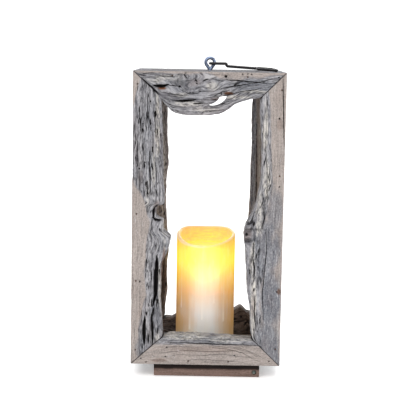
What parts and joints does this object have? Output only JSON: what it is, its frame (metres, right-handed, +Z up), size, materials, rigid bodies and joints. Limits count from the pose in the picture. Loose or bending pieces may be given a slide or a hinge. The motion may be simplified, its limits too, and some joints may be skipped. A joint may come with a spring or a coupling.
{
  "type": "hanging lantern",
  "caption": "Tall open box lantern of mitred live-edge driftwood frames, with a folding wire bail on a screw eye and a battery pillar candle inside.",
  "frame": {"origin": "centre of the lantern's plan, at the underside of the feet", "axes": "+Z up; -Y out of the front frame; +X to the viewer's right, where the folded bail lies"},
  "size_m": [0.19, 0.15, 0.4074],
  "materials": {
    "front_driftwood": "weathered driftwood, grey, open grain",
    "rear_driftwood": "weathered driftwood, darker brown",
    "side_driftwood": "weathered driftwood, grey",
    "top_wood": "weathered plank, grey",
    "foot_wood": "dark red-brown batten, sawn",
    "zinc_wire": "bright zinc plate",
    "black_wire": "black, a little rusted",
    "brad_steel": "dark, rusted heads",
    "screw_steel": "plated",
    "wax": "ivory paraffin wax, lit from inside",
    "ivory_plastic": "moulded, satin",
    "cell_case": "printed sleeve, plain",
    "contact_metal": "nickel plate",
    "black_plastic": "moulded",
    "circuit_laminate": "green laminate",
    "led_epoxy": "clear amber lens"
  },
  "bodies": {
    "lantern": {"front_left_stile": "front_driftwood", "front_right_stile": "front_driftwood", "front_top_rail": "front_driftwood", "front_bottom_rail": "front_driftwood", "rear_left_stile": "rear_driftwood", "rear_right_stile": "rear_driftwood", "rear_top_rail": "rear_driftwood", "rear_bottom_rail": "rear_driftwood", "left_side_left_stile": "side_driftwood", "left_side_right_stile": "side_driftwood", "left_side_top_rail": "side_driftwood", "left_side_bottom_rail": "side_driftwood", "right_side_left_stile": "side_driftwood", "right_side_right_stile": "side_driftwood", "right_side_top_rail": "side_driftwood", "right_side_bottom_rail": "side_driftwood", "top_board": "top_wood", "bottom_board": "rear_driftwood", "front_foot": "foot_wood", "rear_foot": "foot_wood", "screw_eye": "zinc_wire", "front_brad_01": "brad_steel", "front_brad_02": "brad_steel", "front_brad_03": "brad_steel", "front_brad_04": "brad_steel", "front_brad_05": "brad_steel", "front_brad_06": "brad_steel", "front_brad_07": "brad_steel", "front_brad_08": "brad_steel", "front_brad_09": "brad_steel", "front_brad_10": "brad_steel", "front_brad_11": "brad_steel", "front_brad_12": "brad_steel", "rear_brad_01": "brad_steel", "rear_brad_02": "brad_steel", "rear_brad_03": "brad_steel", "rear_brad_04": "brad_steel", "front_left_foot_screw": "screw_steel", "front_right_foot_screw": "screw_steel", "rear_left_foot_screw": "screw_steel", "rear_right_foot_screw": "screw_steel"},
    "bail": {"bail_wire": "black_wire"},
    "candle": {"candle_wax": "wax", "candle_base": "ivory_plastic", "battery_door": "ivory_plastic", "battery_box": "ivory_plastic", "front_battery": "cell_case", "rear_battery": "cell_case", "front_battery_spring": "contact_metal", "rear_battery_spring": "contact_metal", "front_battery_tab": "contact_metal", "rear_battery_tab": "contact_metal", "switch_body": "black_plastic", "circuit_board": "circuit_laminate", "led_stem": "ivory_plastic", "led_lens": "led_epoxy"},
    "switch": {"power_switch": "black_plastic"}
  },
  "joints": [
    {"name": "bail_swing", "type": "hinge", "parent": "lantern", "child": "bail", "pos_m": [0, 0, 0.39825], "axis": [0, -1, 0], "range_deg": [0, 189]},
    {"name": "candle_lift", "type": "slide", "parent": "lantern", "child": "candle", "axis": [0, 0, 1], "range_m": [0, 0.12]},
    {"name": "power_switch_slide", "type": "slide", "parent": "candle", "child": "switch", "axis": [1, 0, 0], "range_m": [0, 0.0035]}
  ]
}
